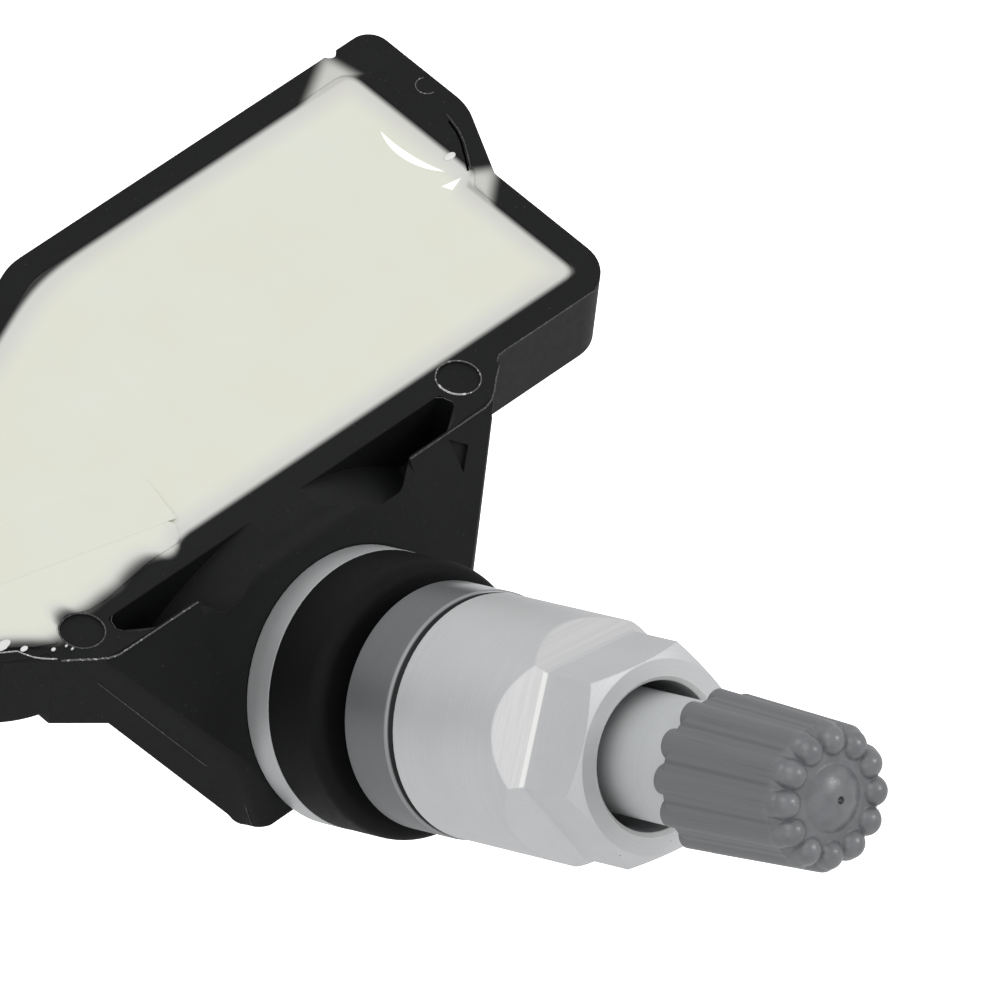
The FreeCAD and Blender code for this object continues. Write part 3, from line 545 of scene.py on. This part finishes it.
# Valve metal: the stem and the collar nut are turned from aluminium bar and satin finished,
# with fine tool rings and a few pits. The washer under the nut has a dark grey coating.
def about_valve(tree, place):
    """Distances along the valve's axis and out from it."""
    axis = (0.0, -math.cos(valve_tilt), math.sin(valve_tilt))
    found = []
    for operation in ("DOT_PRODUCT", "CROSS_PRODUCT"):
        node = tree.nodes.new("ShaderNodeVectorMath")
        node.operation = operation
        join(tree, place, node.inputs[0])
        node.inputs[1].default_value = axis
        found.append(node)
    length = tree.nodes.new("ShaderNodeVectorMath")
    length.operation = "LENGTH"
    join(tree, found[1].outputs[0], length.inputs[0])
    return found[0].outputs["Value"], length.outputs["Value"]


def above_valve(tree, y, z):
    """Distance from the valve's axis towards the potted side."""
    rise = calc(tree, "MULTIPLY", z, math.cos(valve_tilt))
    return calc(tree, "MULTIPLY_ADD", y, math.sin(valve_tilt), rise)


turned, given, made = effect(
    "turned metal",
    (("Vector", "Vector"), ("Colour", "Color"), ("Pit Colour", "Color"), ("Pit Level", "Float"),
     ("Roughness", "Float"), ("Line Scale", "Float")),
    (("Base Color", "Color"), ("Roughness", "Float"), ("Height", "Float")))
place = in_mm(turned, given["Vector"])
station, radius = about_valve(turned, place)
rings = turned.nodes.new("ShaderNodeCombineXYZ")
join(turned, station, rings.inputs[0])
join(turned, radius, rings.inputs[1])
lines = noise(turned, rings.outputs[0], given["Line Scale"], detail=4.0)
full_pit = calc(turned, "ADD", given["Pit Level"], 0.03)
pits = fade(turned, noise(turned, place, per_mm=3.0, detail=1.0), given["Pit Level"], full_pit)
cloud = fade(turned, noise(turned, place, per_mm=0.25, detail=3.0), 0.3, 0.7)
metal = blend(turned, cloud, given["Colour"], tinted(turned, given["Colour"], (0.965, 0.965, 0.965)))
metal = blend(turned, fade(turned, lines, 0.35, 0.75), metal, tinted(turned, metal, (0.98, 0.98, 0.98)))
join(turned, blend(turned, pits, metal, given["Pit Colour"]), made["Base Color"])
smoothest = calc(turned, "SUBTRACT", given["Roughness"], 0.1)
join(turned, calc(turned, "MULTIPLY_ADD", lines, 0.2, smoothest), made["Roughness"])
join(turned, calc(turned, "SUBTRACT", lines, pits), made["Height"])

aluminium = new_material(
    "satin aluminium", turned, metallic=0.7, bump=0.03, soften=0.0001, Colour=(0.62, 0.635, 0.64),
    Pit_Colour=(0.25, 0.25, 0.25), Pit_Level=0.80, Roughness=0.55, Line_Scale=9.0)
dress(aluminium, "valve_stem")


# Collar nut: the ramps that lead up to the flats keep straight brush marks, and the upper ramps are painted a
# little lighter as painted light from above. The lip behind the flats and the edge of the bore are painted
# near-white as painted highlights. Stations run along the valve's axis.
collar, given, made = effect(
    "collar brushing and painted light", (("Vector", "Vector"),),
    (("Ramp Brush And Light", "Float"), ("Brush", "Float"), ("Painted Highlight Edge", "Float")))
place = in_mm(collar, given["Vector"])
station, radius = about_valve(collar, place)
x, y, z = split(collar, place)
up_side = above_valve(collar, y, z)
stroke = collar.nodes.new("ShaderNodeCombineXYZ")
per_mm_across, per_mm_along = 6.0, 0.25
join(collar, calc(collar, "MULTIPLY", station, per_mm_across), stroke.inputs[0])
join(collar, calc(collar, "MULTIPLY", up_side, per_mm_along), stroke.inputs[1])
join(collar, fade(collar, noise(collar, stroke.outputs[0], 1.0, detail=3.0), 0.35, 0.65), made["Brush"])
under_skin = fade(collar, radius, 7.46, 7.40)
# The hexagon's corners at the left and at the top left lie along these two slopes.
left_slope, top_slope = 0.1424, -0.402
above_left = calc(collar, "MULTIPLY_ADD", x, left_slope, up_side)
# Painted light: only the ramps on the upper side get the lighter brushed colour.
upper_half = fade(collar, above_left, -0.12, 0.12)
ramp_length = band(collar, station, (12.3, 12.4), (16.83, 16.80))
brushed_and_lit_ramps = calc(collar, "MULTIPLY", calc(collar, "MULTIPLY", under_skin, upper_half), ramp_length)
join(collar, brushed_and_lit_ramps, made["Ramp Brush And Light"])
below_top = calc(collar, "SUBTRACT", calc(collar, "MULTIPLY", up_side, top_slope), x)
left_side = fade(collar, calc(collar, "MINIMUM", above_left, below_top), -0.08, 0.12)
# Painted highlight: the lip behind the flats and the bore's front edge.
lip_length = band(collar, station, (16.80, 16.83), (17.13, 17.09))
lip = calc(collar, "MULTIPLY", calc(collar, "MULTIPLY", under_skin, left_side), lip_length)
in_bore = fade(collar, radius, 4.93, 4.88)
at_front = fade(collar, station, 21.22, 21.28)
bore_edge = calc(collar, "MULTIPLY", in_bore, at_front)
join(collar, calc(collar, "MAXIMUM", lip, bore_edge), made["Painted Highlight Edge"])

collar_metal = new_material(
    "collar aluminium", turned, metallic=1.0, bump=0.03, soften=0.0001, Colour=(0.70, 0.705, 0.715),
    Pit_Colour=(0.25, 0.25, 0.25), Pit_Level=0.80, Roughness=0.55, Line_Scale=9.0)
tree, shader, colour, place = inside(collar_metal)
brush_and_painted_light = apply_effect(tree, collar)
# Brush marks in a colour a little lighter than the nut, as painted light on the upper ramps.
brush_marks_and_light = blend(tree, brush_and_painted_light.outputs["Brush"], (0.69, 0.695, 0.69, 1), (0.73, 0.735, 0.73, 1))
colour = blend(tree, brush_and_painted_light.outputs["Ramp Brush And Light"], colour, brush_marks_and_light)
# Painted highlight in near-white.
colour = blend(tree, brush_and_painted_light.outputs["Painted Highlight Edge"], colour, (0.93, 0.93, 0.92, 1))
tree.links.new(colour, shader.inputs["Base Color"])
dress(collar_metal, "nut")


# Washer: grey coated metal with a painted glint up at the right, a painted highlight line near its front
# edge and a painted shadow in the seam where it meets the nut.
coating = new_material(
    "grey coating", turned, metallic=0.6, bump=0.05, soften=0.0001, Colour=(0.183, 0.188, 0.194),
    Pit_Colour=(0.08, 0.08, 0.08), Pit_Level=0.8, Roughness=0.42, Line_Scale=6.0)
tree, shader, colour, place = inside(coating)
station = about_valve(tree, place)[0]
x, y, z = split(tree, place)
turned_to = calc(tree, "ARCTAN2", above_valve(tree, y, z), x)
# Painted glint: a bright patch up at the right.
upper_right = band(tree, turned_to, (0.80, 0.86), (1.30, 1.10))
painted_glint = calc(tree, "MULTIPLY", upper_right, fade(tree, station, 1.8, 3.5))
colour = blend(tree, painted_glint, colour, (0.72, 0.73, 0.75, 1))
# Painted highlight: a light line near the front edge.
painted_highlight_line = band(tree, station, (5.14, 5.20), (5.40, 5.34))
colour = blend(tree, painted_highlight_line, colour, (0.32, 0.325, 0.335, 1))
# Painted shadow in the seam against the nut.
painted_seam_shadow = fade(tree, station, 5.38, 5.44)
colour = blend(tree, painted_seam_shadow, colour, (0.012, 0.012, 0.013, 1))
tree.links.new(colour, shader.inputs["Base Color"])
dress(coating, "washer")


# Grommet: moulded black rubber that seals the valve hole, matt with a soft sheen on its
# rounded front edge.
rubber = new_material(
    "black rubber", moulded, specular=0.10, bump=0.2, soften=0.0002, Colour=(0.0064, 0.0066, 0.0072),
    Speck_Colour=(0.02, 0.02, 0.02), Speck_Level=0.80, Roughness=0.6, Grain_Scale=5.0)
dress(rubber, "grommet")


# Cap: soft grey plastic dust cap. Its ridges carry faint lengthwise drag lines from the mould, darker than
# the plastic, and the grooves between the ridges are darkened as painted shade. Its nose is glossier, with
# lighter patches as painted highlights and a dark dot as painted shade for its pinhole.
dragged, given, made = effect(
    "dragged plastic and painted light",
    (("Vector", "Vector"), ("Colour", "Color"), ("Line Colour", "Color"), ("Worn Colour", "Color"),
     ("Roughness", "Float")),
    (("Base Color", "Color"), ("Roughness", "Float"), ("Height", "Float")))
place = in_mm(dragged, given["Vector"])
upright = dragged.nodes.new("ShaderNodeMapping")
upright.inputs["Rotation"].default_value = (math.radians(-59.0), 0, 0)
join(dragged, place, upright.inputs["Vector"])
x, y, z = split(dragged, upright.outputs[0])
turn = calc(dragged, "ARCTAN2", y, x)
streak = dragged.nodes.new("ShaderNodeCombineXYZ")
per_radian, per_mm_along = 9.0, 0.03
join(dragged, calc(dragged, "MULTIPLY", turn, per_radian), streak.inputs[0])
join(dragged, calc(dragged, "MULTIPLY", z, per_mm_along), streak.inputs[1])
streaks = noise(dragged, streak.outputs[0], 4.0, detail=4.0)
ridge_count = 12.0
first_ridge = math.radians(7.0)
wave = calc(dragged, "MULTIPLY", calc(dragged, "SUBTRACT", turn, first_ridge), ridge_count)
# Painted shade in the grooves between the ridges, added to the darker drag lines.
groove_shade = fade(dragged, calc(dragged, "COSINE", wave), -0.88, -1.0)
drag_lines_and_groove_shade = calc(dragged, "MAXIMUM", fade(dragged, streaks, 0.52, 0.8), groove_shade)
drag_lines_and_groove_shade = calc(dragged, "MULTIPLY", drag_lines_and_groove_shade, fade(dragged, z, 37.0, 36.0))
base = blend(dragged, drag_lines_and_groove_shade, given["Colour"], given["Line Colour"])
nose = fade(dragged, z, 35.9, 36.9)
# Painted highlights: lighter patches on the nose.
patches = fade(dragged, noise(dragged, place, per_mm=0.9, detail=3.0), 0.35, 0.65)
bevel_and_painted_highlight = calc(dragged, "MULTIPLY", nose, patches)
base = blend(dragged, calc(dragged, "MULTIPLY", bevel_and_painted_highlight, 0.3), base, given["Worn Colour"])
off_centre = calc(dragged, "SQRT", calc(dragged, "ADD", calc(dragged, "MULTIPLY", x, x), calc(
    dragged, "MULTIPLY", y, y)))
# Painted shade: a dark dot at the nose's centre stands for the pinhole.
pinhole_shade = calc(dragged, "MULTIPLY", fade(dragged, off_centre, 0.30, 0.20), nose)
base = blend(dragged, pinhole_shade, base, given["Line Colour"])
base = blend(dragged, calc(dragged, "MULTIPLY", pinhole_shade, 0.8), base, (0.01, 0.01, 0.01, 1))
join(dragged, base, made["Base Color"])
dull = calc(dragged, "MULTIPLY_ADD", nose, -0.16, given["Roughness"])
join(dragged, calc(dragged, "MULTIPLY_ADD", streaks, 0.1, dull), made["Roughness"])
rough_nose = calc(dragged, "MULTIPLY", calc(dragged, "MULTIPLY", nose, 3.0), noise(
    dragged, place, per_mm=1.3, detail=1.0))
grain = calc(dragged, "ADD", streaks, noise(dragged, place, per_mm=6.0))
join(dragged, calc(dragged, "ADD", rough_nose, grain), made["Height"])

grey = new_material(
    "grey plastic", dragged, specular=1.0, bump=0.3, soften=0.0002, Colour=(0.118, 0.121, 0.130),
    Line_Colour=(0.085, 0.088, 0.095), Worn_Colour=(0.22, 0.23, 0.24), Roughness=0.40)
dress(grey, "cap")


# Valve core: brass barrel and plunger with a steel spring, rubber seals in core and cap,
# and the zinc-plated hollow screw that holds the stem from behind.
brass = new_material(
    "turned brass", turned, metallic=1.0, bump=0.1, Colour=(0.72, 0.50, 0.22), Pit_Colour=(0.3, 0.2, 0.1),
    Pit_Level=0.78, Roughness=0.35, Line_Scale=8.0)
dress(brass, "core_barrel", "core_pin")
plated = new_material(
    "plated steel", turned, metallic=1.0, bump=0.1, Colour=(0.52, 0.53, 0.54), Pit_Colour=(0.25, 0.25, 0.25),
    Pit_Level=0.78, Roughness=0.38, Line_Scale=8.0)
dress(plated, "core_spring", "retaining_screw")
seal = new_material(
    "seal rubber", moulded, specular=0.3, bump=0.2, Colour=(0.012, 0.012, 0.012),
    Speck_Colour=(0.03, 0.03, 0.03), Speck_Level=0.8, Roughness=0.6, Grain_Scale=6.0)
dress(seal, "cap_seal", "core_gasket", "core_cup", "port_seal")


# Electronics: a solder-masked board with a coin cell on welded nickel strips, all sealed
# under the resin. Each package has the look of its own kind of part.
looks = (
    ("solder mask", 0.0, (0.015, 0.10, 0.04), (0.03, 0.16, 0.07), 0.35, ("circuit_board",)),
    ("cell steel", 1.0, (0.60, 0.60, 0.60), (0.5, 0.5, 0.5), 0.32, ("battery_cell", "crystal")),
    ("nickel strip", 1.0, (0.56, 0.54, 0.49), (0.45, 0.43, 0.4), 0.35,
     ("battery_tab_bottom", "battery_tab_top")),
    ("chip package", 0.0, (0.018, 0.018, 0.018), (0.05, 0.05, 0.05), 0.5, ("sensor_chip",)),
    ("ferrite", 0.0, (0.045, 0.045, 0.05), (0.09, 0.09, 0.09), 0.6, ("wake_coil_core",)),
    ("copper", 1.0, (0.70, 0.33, 0.18), (0.5, 0.22, 0.1), 0.3, ("wake_coil_winding", "antenna_strip")),
    ("fired ceramic", 0.0, (0.42, 0.32, 0.22), (0.55, 0.45, 0.35), 0.5, ("chip_capacitors",)),
)
for name, metallic, colour, speck, roughness, nodes in looks:
    material = new_material(
        name, moulded, metallic=metallic, bump=0.1, Colour=colour, Speck_Colour=speck, Speck_Level=0.72,
        Roughness=roughness, Grain_Scale=8.0)
    dress(material, *nodes)
